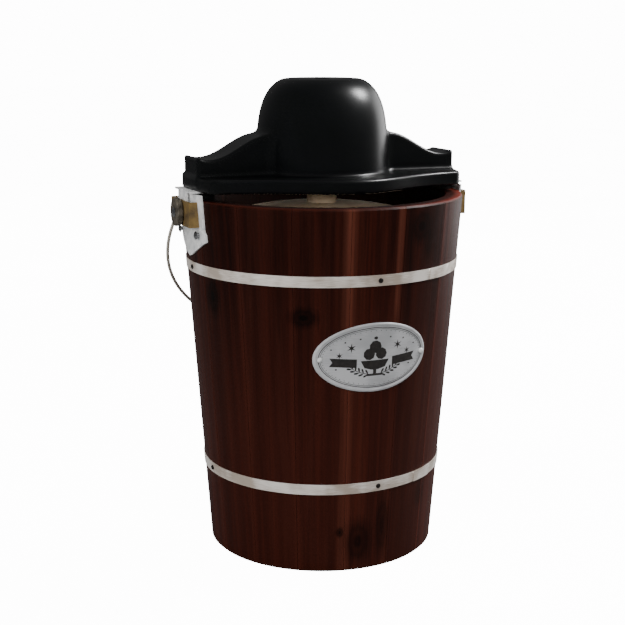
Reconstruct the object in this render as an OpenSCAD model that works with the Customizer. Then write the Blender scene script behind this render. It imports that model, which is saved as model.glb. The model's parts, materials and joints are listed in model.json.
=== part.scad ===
// Electric ice cream maker with a wooden stave bucket.
// Z is up and the origin is the centre of the bucket's foot. The badge faces -Y, the ears lie along X.
// Lengths are millimetres.

/* [Bucket] */
// Height of the bucket, from its foot to its rim
bucket_h = 326; // [280:1:400]
// Outer radius at the rim
bucket_top_r = 128; // [115:0.5:155]
// Outer radius at the foot
bucket_foot_r = 104; // [98:0.5:125]
// Thickness of a stave
stave_t = 16.5; // [12:0.5:20]
// Number of staves, a multiple of four
stave_count = 16; // [12:4:24]
// Gap between neighbouring staves
stave_gap = 0.3; // [0.2:0.05:0.6]
// Thickness of the floor board
floor_t = 14; // [10:0.5:20]
// Height of the floor's underside
floor_z = 18; // [12:0.5:26]
// Depth of the groove that holds the floor
groove_d = 5; // [3:0.5:7]
// Height of the drain hole
drain_z = 235; // [200:1:250]
// Radius of the drain hole
drain_r = 5; // [3:0.25:8]

/* [Bands and badge] */
// Width of a band
band_w = 9.5; // [6:0.5:14]
// Thickness of a band
band_t = 0.7; // [0.5:0.1:1.5]
// Height of the middle of the upper band
upper_band_z = 265; // [255:1:272]
// Height of the middle of the lower band
lower_band_z = 79; // [60:1:110]
// Radius of a nail's shank
nail_r = 1.1; // [0.8:0.1:1.6]
// Radius of a nail's head
nail_head_r = 2.2; // [2:0.1:4]
// Angle of the upper band's first nail from the badge
upper_nail_turn = 1; // [-5:0.5:5]
// Angle of the lower band's first nail from the badge
lower_nail_turn = 4.5; // [-5:0.5:5]
// Length of a nail in the wood
nail_l = 9; // [6:0.5:11]
// Width of the badge
badge_w = 105; // [80:1:130]
// Height of the badge
badge_h = 61; // [45:1:80]
// Thickness of the badge
badge_t = 1.0; // [0.6:0.1:2]
// Height of the badge's middle
badge_z = 198; // [150:1:215]

/* [Ears and bail] */
// Width of an ear plate
ear_w = 71; // [70:1:84]
// Thickness of an ear plate
ear_t = 1.5; // [1:0.1:2.5]
// Height of an ear plate above the rim
ear_rise = 5.3; // [4:0.1:5.4]
// Length of an ear plate below the rim
ear_drop = 51; // [46:1:58]
// Width of a pocket on an ear
pocket_w = 54; // [44:1:56]
// Height of a pocket
pocket_h = 22; // [18:1:26]
// Thickness of a pocket's sheet
pocket_t = 1.5; // [1:0.1:2]
// Space for a tab inside a pocket
pocket_room = 3; // [2.8:0.1:6]
// Thickness of a mounting tab
tab_t = 1.5; // [1:0.1:2]
// Width of the tongue that a tab puts in a pocket
tongue_w = 26; // [18:1:34]
// Radius of the bail's wire
bail_r = 1.6; // [1.2:0.1:2.5]
// Length of the bail's straight ends
bail_end = 25; // [15:1:40]
// Radius of the bail's long curved arms
bail_arm_r = 197; // [170:1:220]
// Angle that a long arm turns through
bail_arm_a = 47.5; // [44:0.5:50]
// Gap between the bucket and the grip of the resting bail
rest_gap = 1.5; // [1:0.1:6]
// Height of the bail's pivot below the rim
bail_pivot_drop = 12; // [11:0.5:13]
// Radius of the bail's rivet
rivet_r = 2.75; // [2:0.05:3.5]
// Radius of the eye on the bail's end
eye_r = 12.5; // [8:0.5:14]
// Thickness of the eye
eye_t = 5.2; // [4:0.1:7]
// Outer radius of the bail's grip
grip_r = 10.5; // [6:0.5:11]
// Length of the bail's grip along the wire
grip_l = 96; // [70:1:120]
// Length of the latch from its screw to its tip
latch_l = 27.5; // [27:0.5:31]
// Thickness of the latch
latch_t = 2; // [1.5:0.1:2.5]

/* [Canister and dasher] */
// Outer radius of the canister
can_r = 77; // [66:0.5:80]
// Wall of the canister
can_t = 1.0; // [0.8:0.1:2]
// Height of the canister's rim below the bucket's rim
can_sink = 20; // [18:1:30]
// Height of the seat under the canister
seat_h = 8; // [6:0.5:12]
// Radius of the canister's pivot stud
pivot_r = 6; // [4:0.25:7]
// Thickness of the lid
lid_t = 2; // [1.5:0.1:3]
// Rise of the lid from its edge to its hub
lid_rise = 9.4; // [8:0.2:10]
// Outer radius of the lid's hub
hub_r = 13.5; // [13:0.1:16]
// Radius of the dasher's stem
stem_r = 5.5; // [4.8:0.1:6]
// Width across the flats of the stem's square end
square_w = 8; // [6:0.1:8.2]
// Thickness of the dasher's frame
dasher_t = 7; // [4:0.5:10]
// Gap between a scraper and the canister's wall
scraper_gap = 0.8; // [0.5:0.1:2]

/* [Motor housing] */
// Height of the housing's lower edge above the rim
housing_lift = 7; // [6.5:0.1:10]
// Height of the housing's lower tier
tier_h = 12; // [10:0.5:16]
// Half width of the lower tier at its ends
tier_end_w = 44; // [40:0.5:50]
// Extra half width of the lower tier at its middle
tier_bulge = 43; // [30:0.5:48]
// Length over which the bulge fades
tier_fade = 69.6; // [55:0.2:80]
// Distance of the lower tier's ends inside the bucket's rim
tier_inset = 1.7; // [1.4:0.1:8]
// Radius of the dome
dome_r = 59.5; // [58:0.5:66]
// Height of the dome's flat top above the rim
dome_h = 102.5; // [99:0.5:112]
// Half width of a wing
wing_w = 20.5; // [18:0.5:22]
// Distance of the wings' ends inside the lower tier's ends
wing_inset = 2.3; // [2.3:0.1:8]
// Length of the raised seat at the end of a wing
wing_seat = 12; // [8:0.5:16]
// Wall of the housing
shell_t = 2.5; // [2:0.1:3.5]
// Thickness of the base cover
base_t = 2.5; // [2:0.1:3]

/* [Drive] */
// Tooth module of the gears
gear_m = 1; // [0.9:0.05:1.05]
// Teeth on a pinion
pinion_n = 12; // [11:1:13]
// Teeth on a large gear
wheel_n = 48; // [46:1:50]
// Face width of the output gear
output_w = 8.5; // [6:0.5:9]
// Face width of the idler's large gear
idler_w = 6; // [4:0.5:7]
// Radius of the motor's shaft
shaft_r = 3; // [2:0.1:3.4]
// Outer radius of the stator
stator_r = 42; // [38:0.5:44]
// Height of the stator's stack
stator_h = 26; // [20:0.5:30]
// Radius of the rotor
rotor_r = 22; // [18:0.5:24]
// Gap between rotor and stator
air_gap = 0.5; // [0.3:0.1:1]
// Radial clearance of a running fit
run_gap = 0.05; // [0.03:0.01:0.08]
// Radial clearance of a bolt in its hole
bolt_gap = 0.2; // [0.1:0.05:0.4]
// Gap between parts that only sit beside each other
seat_gap = 0.3; // [0.2:0.05:0.5]

/* [Hidden] */
$fn = 96;
skin = 0.06;
band_gap = 0.05;

pivot_z = bucket_h - bail_pivot_drop;
ear_back = 0.1;
ear_top = bucket_h + ear_rise;
pocket_top = bucket_h - 1;
pocket_x = bucket_r(bucket_h) + ear_back + ear_t + pocket_room;
pocket_face = pocket_x + pocket_t;
eye_x = pocket_face + 0.4 + eye_t / 2;
grip_half = grip_l / 2 + 2;
bend_r = (eye_x - grip_half - bail_arm_r * (1 - cos(bail_arm_a))) / cos(bail_arm_a);
bail_drop = bail_end + bail_arm_r * sin(bail_arm_a) + bend_r * (1 - sin(bail_arm_a));
taper_a = atan((bucket_top_r - bucket_foot_r) / bucket_h);
bail_rest = asin((bucket_r(pivot_z) + grip_r + rest_gap) * cos(taper_a) / bail_drop) - taper_a;
screw_y = pocket_w / 2 - 3.5;
screw_z = pocket_top - pocket_h - 7;
latch_y = pocket_w / 2 + 5.4;
latch_z = bucket_h - 4;
latch_x = pocket_face - 5.6;

floor_top = floor_z + floor_t;
floor_r = bucket_r(floor_z + floor_t / 2) - stave_t + groove_d - seat_gap;
can_z0 = floor_top + seat_h + 4;
can_z1 = bucket_h - can_sink;
can_in = can_r - can_t;
lid_z = bucket_h - can_sink + 1.9;
lid_r = can_r + 4;
lid_k = lid_rise / (lid_r * lid_r);
hub_z = lid_z + lid_rise;
hub_floor = 3;
hub_top = hub_z + 10;
cup_h = 9;

tier_r = bucket_top_r - tier_inset;
wing_l = tier_r - wing_inset;
wing_low = wing_l - wing_seat;
wing_high = 58;
housing_z = bucket_h + housing_lift;
tier_top = housing_z + tier_h;
dome_top = bucket_h + dome_h;
dome_foot = tier_top - shell_t - 1;
base_z = housing_z + 0.8;
base_top = base_z + base_t;
tab_z = base_z - 0.2 - tab_t;
tab_w = 2 * (pocket_w / 2 - pocket_t - 2.2);
tab_x = pocket_x - 0.8 - tab_t;

centre_d = gear_m * (pinion_n + wheel_n) / 2;
output_z = base_top + 4.2;
output_top = output_z + output_w;
plate_z = output_top + 3;
plate_t = 2;
plate_top = plate_z + plate_t;
idler_z = plate_top + 2.5;
bracket_z = idler_z + idler_w + 2.5;
bracket_t = 2.5;
stator_z = bracket_z + bracket_t + 8.5;
stator_top = stator_z + stator_h;
cap_z = stator_top + 8;
fan_z = cap_z + bracket_t + 2.5;
shaft_top = fan_z + 6;
post_r = 7;
post_z = hub_z + 3.6;
sleeve_r = 10.2;
sleeve_z = hub_z + hub_floor + 0.5;
bush_r = 13;
bolt_a = 52;
bolt_d = stator_r - 3;
bolt_r = 2;
post_d = stator_r + 4;

// Outer radius of the bucket at height z
function bucket_r(z) = bucket_foot_r + (bucket_top_r - bucket_foot_r) * z / bucket_h;

// Half width of the lower tier's outline at distance x from the middle
function tier_w(x) = tier_end_w + tier_bulge * exp(-pow(x / tier_fade, 2));

// Radius of the dome at height h above the rim
function dome_at(h) = dome_r * pow(1 - pow(max(0, (h - 20) / (dome_h - 17)), 3.4), 1 / 3.8);

// Height of the wing's top above the rim at distance x from the middle
function wing_top(x) =
    x < wing_high ? 54
    : x < wing_low ? 34 + 10 * (1 + cos(180 * (x - wing_high) / (wing_low - wing_high)))
    : 34 + 3 * pow((x - wing_low) / wing_seat, 2);

// Height of the lid's upper face at radius r
function lid_at(r) = hub_z - lid_k * r * r;

// Angle that an involute has turned through at radius r
function involute(r, base) = let (t = sqrt(max(0, pow(r / base, 2) - 1))) t * 180 / PI - atan(t);

// Half the angle that a tooth takes at radius r
function tooth_half(r, n) =
    let (pitch = gear_m * n / 2, base = pitch * cos(25))
    90 / n - 0.06 / pitch * 180 / PI + involute(pitch, base) - involute(r, base);

// Outline of a spur gear with n teeth and its first tooth at angle a
module teeth(n, a = 0) {
    pitch = gear_m * n / 2;
    radii = [for (i = [0:4]) pitch - 1.05 * gear_m + 1.85 * gear_m * i / 4];
    polygon([for (k = [0:n - 1], side = [-1, 1], i = [0:4])
        let (r = side < 0 ? radii[i] : radii[4 - i], w = a + 360 * k / n + side * tooth_half(r, n))
        r * [cos(w), sin(w)]]);
}

// Solid between two heights whose side follows the bucket at a distance from its surface
module bucket_cone(z0, z1, out) {
    rotate_extrude()
        polygon([[0, z0], [bucket_r(z0) + out, z0], [bucket_r(z1) + out, z1], [0, z1]]);
}

// Sheet that wraps the bucket between two distances from its surface
module bucket_sheet(z0, z1, inner, outer) {
    rotate_extrude()
        polygon([[bucket_r(z0) + inner, z0], [bucket_r(z0) + outer, z0],
            [bucket_r(z1) + outer, z1], [bucket_r(z1) + inner, z1]]);
}

// Turns its children to face outwards at an angle from the badge, with their z axis as the outward one
module around(a, z, r) {
    rotate([0, 0, a - 90]) translate([r, 0, z]) rotate([0, 90, 0]) children();
}

module mirrored_x() {
    children();
    mirror([1, 0, 0]) children();
}

// Domed screw or nail along +z: its head starts at z = 0 and its shank goes down
module pin(shank_r, shank_l, head_r, head_h) {
    rotate_extrude()
        polygon(concat([[0, -shank_l], [shank_r * 0.6, -shank_l], [shank_r, -shank_l + shank_r], [shank_r, 0],
            [head_r, 0]], [for (i = [1:6]) [head_r * cos(15 * i), head_h * sin(15 * i)]]));
}

module tube(z0, z1, outer, inner) {
    difference() {
        translate([0, 0, z0]) cylinder(r = outer, h = z1 - z0);
        translate([0, 0, z0 - 1]) cylinder(r = inner, h = z1 - z0 + 2);
    }
}

// Places of the nails on a band, as angles from the badge
band_nail_angles = [0, 90, 180, 270];

function nail_turn(z) = z == lower_band_z ? lower_nail_turn : upper_nail_turn;

module band_nail_holes(z) {
    for (a = band_nail_angles)
        around(a + nail_turn(z), z, bucket_r(z) - nail_l - 1) cylinder(r = nail_r + skin, h = nail_l + 4);
}

module badge_pin_places() {
    for (x = [-1, 1])
        translate([x * (badge_w / 2 - 5), 0, badge_z]) rotate([90, 0, 0]) children();
}

module ear_screw_places() {
    for (side = [-1, 1], y = [-1, 1])
        translate([side * (bucket_r(screw_z) + ear_t - 0.1), y * screw_y, screw_z])
            rotate([0, side * 90, 0]) translate([0, 0, -1.05]) children();
}

module latch_place() {
    translate([latch_x, latch_y, latch_z]) rotate([0, 90, 0]) children();
}

module seat_screw_places() {
    for (a = [90, 210, 330]) rotate([0, 0, a]) translate([16, 0, floor_top + seat_h]) children();
}

module bucket_staves() {
    color("#3a1712") difference() {
        for (i = [0:stave_count - 1])
            intersection() {
                half = 180 / stave_count - stave_gap / bucket_foot_r * 90 / PI;
                rotate([0, 0, 360 / stave_count * i - half - 90]) rotate_extrude(angle = 2 * half)
                    polygon([[bucket_r(0) - stave_t + 2, 0], [bucket_r(0) - 2, 0], [bucket_r(2), 2],
                        [bucket_r(bucket_h - 1.5), bucket_h - 1.5], [bucket_r(bucket_h) - 1.5, bucket_h],
                        [bucket_r(bucket_h) - stave_t + 1.5, bucket_h],
                        [bucket_r(bucket_h) - stave_t, bucket_h - 1.5], [bucket_r(2) - stave_t, 2]]);
                cylinder(r = 2 * bucket_top_r, h = bucket_h);
            }
        translate([0, 0, floor_z - skin]) cylinder(r = floor_r + seat_gap, h = floor_t + 2 * skin);
        band_nail_holes(upper_band_z);
        band_nail_holes(lower_band_z);
        badge_pin_places() translate([0, 0, bucket_r(badge_z) - nail_l - 12])
            cylinder(r = nail_r + skin, h = nail_l + 20);
        ear_screw_places() translate([0, 0, -15]) cylinder(r = 2 + skin, h = 20);
        latch_place() translate([0, 0, -16]) cylinder(r = 2 + skin, h = 20);
        around(180 - 180 / stave_count * 2, drain_z, bucket_r(drain_z) - 2 * stave_t)
            cylinder(r = drain_r, h = 3 * stave_t);
    }
}

module bucket_floor() {
    color("#6b4a32") difference() {
        translate([0, 0, floor_z]) cylinder(r = floor_r, h = floor_t);
        seat_screw_places() translate([0, 0, -seat_h - 9]) cylinder(r = 1.8 + skin, h = 20);
    }
}

module canister_seat() {
    color("#d8d8d2") difference() {
        union() {
            translate([0, 0, floor_top + skin]) cylinder(r = 22, h = 3);
            translate([0, 0, floor_top + 3]) cylinder(r = pivot_r + 4, h = seat_h - 3);
        }
        translate([0, 0, floor_top + 2]) cylinder(r = pivot_r + run_gap, h = seat_h);
        seat_screw_places() translate([0, 0, -seat_h - 1]) cylinder(r = 1.8 + skin, h = 20);
    }
}

module seat_screws() {
    color("#b8b8b8") seat_screw_places() translate([0, 0, 3 + 2 * skin - seat_h]) pin(1.8, 11, 3.2, 1.6);
}

module band(z) {
    color("#cfc8c2") difference() {
        union() {
            bucket_sheet(z - band_w / 2, z + band_w / 2, band_gap, band_gap + band_t);
            rotate([0, 0, -64]) rotate_extrude(angle = 13)
                polygon([[bucket_r(z - band_w / 2) + band_gap + 0.2, z - band_w / 2],
                    [bucket_r(z - band_w / 2) + band_gap + 2 * band_t, z - band_w / 2],
                    [bucket_r(z + band_w / 2) + band_gap + 2 * band_t, z + band_w / 2],
                    [bucket_r(z + band_w / 2) + band_gap + 0.2, z + band_w / 2]]);
        }
        band_nail_holes(z);
    }
}

module upper_band() {
    band(upper_band_z);
}

module lower_band() {
    band(lower_band_z);
}

module band_nails() {
    color("#4a4642") for (z = [upper_band_z, lower_band_z], a = band_nail_angles)
        around(a + nail_turn(z), z, bucket_r(z) + band_gap + band_t + 0.45)
            pin(nail_r, nail_l, nail_head_r, 1.1);
}

module badge_outline(inset) {
    polygon([for (i = [0:71]) [(badge_w / 2 - inset) * cos(5 * i), (badge_h / 2 - inset) * sin(5 * i)]]);
}

module badge() {
    color("#cfcfd0") difference() {
        intersection() {
            union() {
                bucket_sheet(badge_z - badge_h, badge_z + badge_h, 0.1, 0.1 + badge_t);
                intersection() {
                    bucket_sheet(badge_z - badge_h, badge_z + badge_h, 0.1, 0.7 + badge_t);
                    translate([0, 0, badge_z]) rotate([90, 0, 0]) linear_extrude(2 * bucket_top_r)
                        difference() {
                            badge_outline(0.6);
                            badge_outline(2.6);
                        }
                }
            }
            translate([0, 0, badge_z]) rotate([90, 0, 0]) linear_extrude(2 * bucket_top_r) badge_outline(0);
        }
        badge_pin_places() cylinder(r = nail_r + skin, h = 2 * bucket_top_r);
    }
}

module badge_pins() {
    color("#3c3a38") badge_pin_places()
        translate([0, 0, sqrt(pow(bucket_r(badge_z) + badge_t + 0.1, 2) - pow(badge_w / 2 - 5, 2)) + 1.2])
            pin(nail_r, nail_l, nail_head_r, 1.1);
}

// Shield outline of an ear, across and up, with its upper corners cut back by an inset
module ear_outline(inset) {
    half = ear_w / 2;
    foot = bucket_h - ear_drop;
    polygon([[inset - half, ear_top], [inset - half, foot + 25], [-half, foot + 22], [-half, foot + 16],
        [-5, foot + 1], [0, foot], [5, foot + 1], [half, foot + 16], [half, foot + 22],
        [half - inset, foot + 25], [half - inset, ear_top]]);
}

module ear_plate(side) {
    color("#c9cacb") difference() {
        intersection() {
            bucket_sheet(bucket_h - 2 * ear_drop, ear_top, ear_back, ear_back + ear_t);
            rotate([90, 0, side * 90]) linear_extrude(2 * bucket_top_r)
                ear_outline(side > 0 ? 0 : 2);
        }
        ear_screw_places() translate([0, 0, -15]) cylinder(r = 2 + skin, h = 20);
        if (side > 0)
            latch_place() translate([0, 0, -16]) cylinder(r = 2 + skin, h = 20);
    }
}

module ear_plate_left() {
    ear_plate(-1);
}

module ear_plate_right() {
    ear_plate(1);
}

// Strap bent round three sides of the slot that takes a tab, at the right ear
module ear_pocket() {
    color("#6e6047") difference() {
        translate([0, -pocket_w / 2, pocket_top - pocket_h]) cube([pocket_face, pocket_w, pocket_h]);
        translate([-1, pocket_t - pocket_w / 2, 0])
            cube([pocket_x + 1, pocket_w - 2 * pocket_t, 2 * bucket_h]);
        bucket_cone(bucket_h - 2 * ear_drop, bucket_h + ear_drop, ear_back + ear_t + skin);
        translate([0, 0, pivot_z]) rotate([0, 90, 0]) cylinder(r = rivet_r + skin, h = 2 * bucket_top_r);
    }
}

module ear_pocket_left() {
    mirror([1, 0, 0]) ear_pocket();
}

module ear_pocket_right() {
    ear_pocket();
}

module ear_screws() {
    color("#8d8f90") ear_screw_places() translate([0, 0, skin + 1.0]) pin(2, 12, 3.6, 1.9);
}

module bail_rivets() {
    color("#7c725c") mirrored_x() translate([pocket_x + 0.05, 0, pivot_z]) rotate([0, 90, 0]) {
        cylinder(r = rivet_r, h = eye_t + pocket_t + 0.6);
        translate([0, 0, eye_t + pocket_t + 0.6]) rotate_extrude()
            polygon(concat([[0, 0], [4.4, 0]], [for (i = [1:6]) [4.4 * cos(15 * i), 1.3 * sin(15 * i)]]));
    }
}

module latch_screw() {
    color("#8d8f90") latch_place() {
        translate([0, 0, latch_t + 0.2]) pin(1.8, 15, 3.8, 1.6);
        rotate_extrude() polygon([[0, -1.8], [3.4, -1.8], [3.4, -0.15], [0, -0.15]]);
    }
}

// Places its children in the resting bail's plane: x across and z towards the bow
module bail_plane() {
    translate([0, 0, pivot_z]) rotate([180 + bail_rest, 0, 0]) children();
}

// Wire with straight ends, long arms, tight bends and the run inside the grip
module bail_wire() {
    color("#8f8b80") bail_plane() mirrored_x() {
        translate([eye_x, 0, rivet_r + 1.6]) cylinder(r = bail_r, h = bail_end - rivet_r - 1.6);
        translate([eye_x - bail_arm_r, 0, bail_end]) rotate([90, 0, 0])
            rotate_extrude(angle = bail_arm_a) translate([bail_arm_r, 0]) circle(r = bail_r);
        translate([grip_half, 0, bail_drop - bend_r]) rotate([90, 0, 0]) rotate([0, 0, bail_arm_a])
            rotate_extrude(angle = 90 - bail_arm_a) translate([bend_r, 0]) circle(r = bail_r);
        translate([0, 0, bail_drop]) rotate([0, 90, 0]) cylinder(r = bail_r, h = grip_half);
    }
}

module bail_eyes() {
    color("#4f4a3c") bail_plane() mirrored_x() difference() {
        translate([eye_x - eye_t / 2, 0, 0]) rotate([0, 90, 0]) rotate_extrude()
            polygon([[0, 0], [eye_r - 0.8, 0], [eye_r, 0.8], [eye_r, eye_t - 0.8], [eye_r - 0.8, eye_t],
                [0, eye_t]]);
        translate([eye_x - eye_t, 0, 0]) rotate([0, 90, 0]) cylinder(r = rivet_r + run_gap, h = 2 * eye_t);
        translate([eye_x, 0, rivet_r + 1.5]) cylinder(r = bail_r + skin, h = 2 * eye_r);
    }
}

module bail_grip() {
    color("#17110f") bail_plane() translate([0, 0, bail_drop]) rotate([0, 90, 0]) rotate_extrude()
        polygon([[bail_r + skin, -grip_l / 2], [grip_r - 3, -grip_l / 2], [grip_r - 2, 1 - grip_l / 2],
            [grip_r - 2, 9 - grip_l / 2], [grip_r, 11 - grip_l / 2], [grip_r, grip_l / 2 - 11],
            [grip_r - 2, grip_l / 2 - 9], [grip_r - 2, grip_l / 2 - 1], [grip_r - 3, grip_l / 2],
            [bail_r + skin, grip_l / 2]]);
}

module latch() {
    color("#a9abac") latch_place() difference() {
        union() {
            cylinder(r = 5, h = latch_t);
            translate([-5, 0, 0]) cube([10, latch_l, latch_t]);
            translate([-5, latch_l - latch_t, -8]) cube([10, latch_t, 8 + latch_t]);
        }
        translate([0, 0, -10]) cylinder(r = 1.8 + run_gap, h = 20);
    }
}

module canister() {
    color("#c4c7c9") rotate_extrude()
        polygon([[pivot_r + skin, can_z0], [can_r - 4, can_z0], [can_r, can_z0 + 4], [can_r, can_z1 - 2],
            [can_r + 1.2, can_z1 - 1], [can_r + 1.2, can_z1], [can_in, can_z1], [can_in, can_z0 + 4.4],
            [can_r - 4.4, can_z0 + can_t], [pivot_r + skin, can_z0 + can_t]]);
}

module canister_pivot() {
    color("#9a9c9e") difference() {
        union() {
            translate([0, 0, floor_top + 2.1]) cylinder(r = pivot_r, h = can_z0 - floor_top);
            translate([0, 0, can_z0 - 2.6]) cylinder(r = pivot_r + 3, h = 2.6 - skin);
            translate([0, 0, can_z0 + can_t + skin]) cylinder(r = pivot_r + 4, h = cup_h);
        }
        translate([0, 0, can_z0 + can_t + 1.5]) cylinder(r = stem_r + run_gap, h = cup_h);
    }
}

dasher_z0 = can_z0 + can_t + cup_h + 4;
dasher_z1 = can_z1 - 14;
blade_r = can_in - scraper_gap;
frame_r = blade_r - 8;

module dasher_stem() {
    color("#e6e3da") {
        translate([0, 0, can_z0 + can_t + 1.6]) cylinder(r = stem_r, h = hub_z + 3.4 - can_z0 - can_t - 1.6);
        translate([-square_w / 2, -square_w / 2, hub_z + 3.3]) cube([square_w, square_w, 17]);
    }
}

// Frame cut from one plate, with a sleeve for the stem and two slanted paddles
module dasher_frame() {
    rows = 2;
    row_h = (dasher_z1 - dasher_z0 - 12) / rows;
    color("#ece9e0") difference() {
        union() {
            translate([0, dasher_t / 2, 0]) rotate([90, 0, 0]) linear_extrude(dasher_t) difference() {
                translate([-frame_r, dasher_z0]) square([2 * frame_r, dasher_z1 - dasher_z0]);
                for (side = [-1, 1], i = [0:rows - 1])
                    translate([side * (frame_r - 1) / 2 - (frame_r - 19) / 2, dasher_z0 + 12 + row_h * i])
                        square([frame_r - 19, row_h - 12]);
            }
            for (side = [-1, 1])
                translate([side * 33, 0, dasher_z0 + 5]) rotate([0, 0, side * 35])
                    translate([-11, -2, 0]) cube([22, 4, dasher_z1 - dasher_z0 - 10]);
            translate([0, 0, dasher_z0 - 1.5]) cylinder(r = stem_r + 4, h = dasher_z1 - dasher_z0 + 3);
        }
        cylinder(r = stem_r + skin, h = bucket_h);
    }
}

module dasher_scrapers() {
    color("#d9d2bf") for (side = [0, 180])
        rotate([0, 0, side]) intersection() {
            translate([frame_r + 0.15, -9, dasher_z0 + 2]) rotate([0, 0, 12])
                cube([30, 4, dasher_z1 - dasher_z0 - 4]);
            tube(dasher_z0, dasher_z1, blade_r, frame_r - 20);
        }
}

module canister_lid() {
    color("#b9aea0", 0.8) difference() {
        rotate_extrude()
            polygon(concat(
                [for (i = [0:12]) let (r = hub_r - 3 + (lid_r - 2 - hub_r + 3) * i / 12) [r, lid_at(r)]],
                [[lid_r, lid_at(lid_r) - 1.5], [lid_r, lid_z - 12], [lid_r - 1.8, lid_z - 12],
                    [lid_r - 1.8, lid_at(lid_r) - lid_t - 0.3]],
                [for (i = [12:-1:0]) let (r = hub_r - 3 + (lid_r - 4 - hub_r + 3) * i / 12)
                    [r, lid_at(r) - lid_t]]));
    }
}

module lid_hub() {
    flange_z = lid_at(hub_r - 3) + skin;
    color("#a99c8c") difference() {
        union() {
            translate([0, 0, flange_z]) cylinder(r = hub_r, h = hub_top - flange_z);
            translate([0, 0, hub_z - lid_t - 2]) cylinder(r = hub_r - 3 - skin, h = lid_t + 4);
            translate([0, 0, hub_z - lid_t - 4]) cylinder(r = hub_r, h = 3 - lid_k * hub_r * hub_r);
        }
        translate([0, 0, hub_z - 20]) cylinder(r = stem_r + run_gap, h = 60);
        translate([0, 0, hub_z + hub_floor]) cylinder(r = sleeve_r + 0.7, h = 20);
        for (a = [0:90:270]) rotate([0, 0, a + 45])
            translate([0, -2.8, hub_z + hub_floor]) cube([sleeve_r + 2.2, 5.6, 20]);
    }
}

// Outline of the housing's lower tier, drawn in by an inset
module tier_outline(inset) {
    intersection() {
        polygon([for (s = [1, -1], i = [-20:20])
            let (x = s * (tier_r + 4) * i / 20) [x, s * (tier_w(x) - inset)]]);
        circle(r = tier_r - inset);
    }
}

// Dome with straight sides below its shoulder, drawn in by an inset
module dome(inset) {
    steps = 18;
    rotate_extrude()
        polygon(concat([[0, dome_foot]], [for (i = [0:steps])
            let (f = pow(1 - i / steps, 1.8), h = dome_h * (1 - f) + (dome_foot - bucket_h) * f)
            [dome_at(h) - inset, bucket_h + h - inset * pow(i / steps, 2)]],
            [[0, dome_top - inset]]));
}

// Wings on both sides, drawn in by an inset
module wings(inset) {
    translate([0, wing_w - inset, 0]) rotate([90, 0, 0]) linear_extrude(2 * (wing_w - inset))
        polygon(concat([[-(wing_l - inset), dome_foot]],
            [for (i = [-24:24]) let (x = (wing_l - inset) * i / 24)
                [x, bucket_h + wing_top(abs(x)) - inset]],
            [[wing_l - inset, dome_foot]]));
}

module base_screw_places() {
    for (x = [-1, 1], y = [-1, 1]) {
        translate([x * (tier_r - 20), y * (tier_end_w - 12), 0]) children();
        translate([x * 22, y * (tier_end_w + tier_bulge - 16), 0]) children();
    }
}

grommet_x = 84;
grommet_z = bucket_h + 33;
grommet_r = 8;

module housing_shell() {
    color("#0b0c0d") difference() {
        union() {
            translate([0, 0, housing_z]) linear_extrude(tier_h) tier_outline(0);
            dome(0);
            wings(0);
        }
        difference() {
            union() {
                translate([0, 0, housing_z - 1]) linear_extrude(tier_h + 1 - shell_t) tier_outline(shell_t);
                dome(shell_t);
                wings(shell_t);
            }
            base_screw_places() translate([0, 0, base_top + skin]) cylinder(r = 4.5, h = tier_h);
        }
        base_screw_places() translate([0, 0, housing_z - 1]) cylinder(r = 1.5 + skin, h = tier_h - 1.5);
        translate([0, 0, dome_top - 1]) tube(0, 2, 30, 6);
        translate([-tier_r - 1, -tab_w / 2 - seat_gap, housing_z - 1])
            cube([2 * tier_r + 2, tab_w + 2 * seat_gap, base_z - housing_z + 1]);
        translate([grommet_x, 0, grommet_z]) rotate([-90, 0, 0])
            cylinder(r = grommet_r - 2 + skin, h = 2 * wing_w);
    }
}

module cord_grommet() {
    color("#161616") translate([grommet_x, wing_w - shell_t, grommet_z]) rotate([-90, 0, 0])
        difference() {
            rotate_extrude() polygon([[0, -2], [grommet_r - 0.5, -2], [grommet_r - 0.5, -skin],
                [grommet_r - 2, -skin], [grommet_r - 2, shell_t + skin], [grommet_r, shell_t + skin],
                [grommet_r, shell_t + 2.5], [grommet_r - 2.5, shell_t + 12], [0, shell_t + 12]]);
            translate([0, 0, -3]) cylinder(r = 3.6, h = 30);
        }
}

module housing_base() {
    color("#141516") difference() {
        union() {
            translate([0, 0, base_z]) linear_extrude(base_t) tier_outline(shell_t + seat_gap);
            for (a = [bolt_a, 180 - bolt_a, 180 + bolt_a, -bolt_a]) rotate([0, 0, a])
                translate([post_d, 0, base_top - 1]) cylinder(r = 4, h = plate_z - base_top + 1 - skin);
            translate([centre_d, 0, base_top - 1]) cylinder(r = 6, h = output_z - base_top + 1 - 0.5);
        }
        translate([0, 0, base_z - 1]) cylinder(r = bush_r + skin, h = 10);
        base_screw_places() translate([0, 0, base_z - 1]) cylinder(r = 1.7 + bolt_gap, h = 10);
        for (a = [bolt_a, 180 - bolt_a, 180 + bolt_a, -bolt_a]) rotate([0, 0, a])
            translate([post_d, 0, plate_z - 9]) cylinder(r = 1.5 + skin, h = 12);
        translate([centre_d, 0, base_z + 1]) cylinder(r = 3 + skin, h = 20);
        tab_screw_places() cylinder(r = 1.7 + skin, h = 10, center = true);
    }
}

module housing_screws() {
    color("#5a5c5e") base_screw_places() translate([0, 0, base_z - skin]) mirror([0, 0, 1])
        pin(1.5, tier_h - 5.5, 3.2, 0.7);
}

module tab_screw_places() {
    for (side = [-1, 1], y = [-1, 1])
        translate([side * (tier_r - 13), y * 11, tab_z]) children();
}

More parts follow.
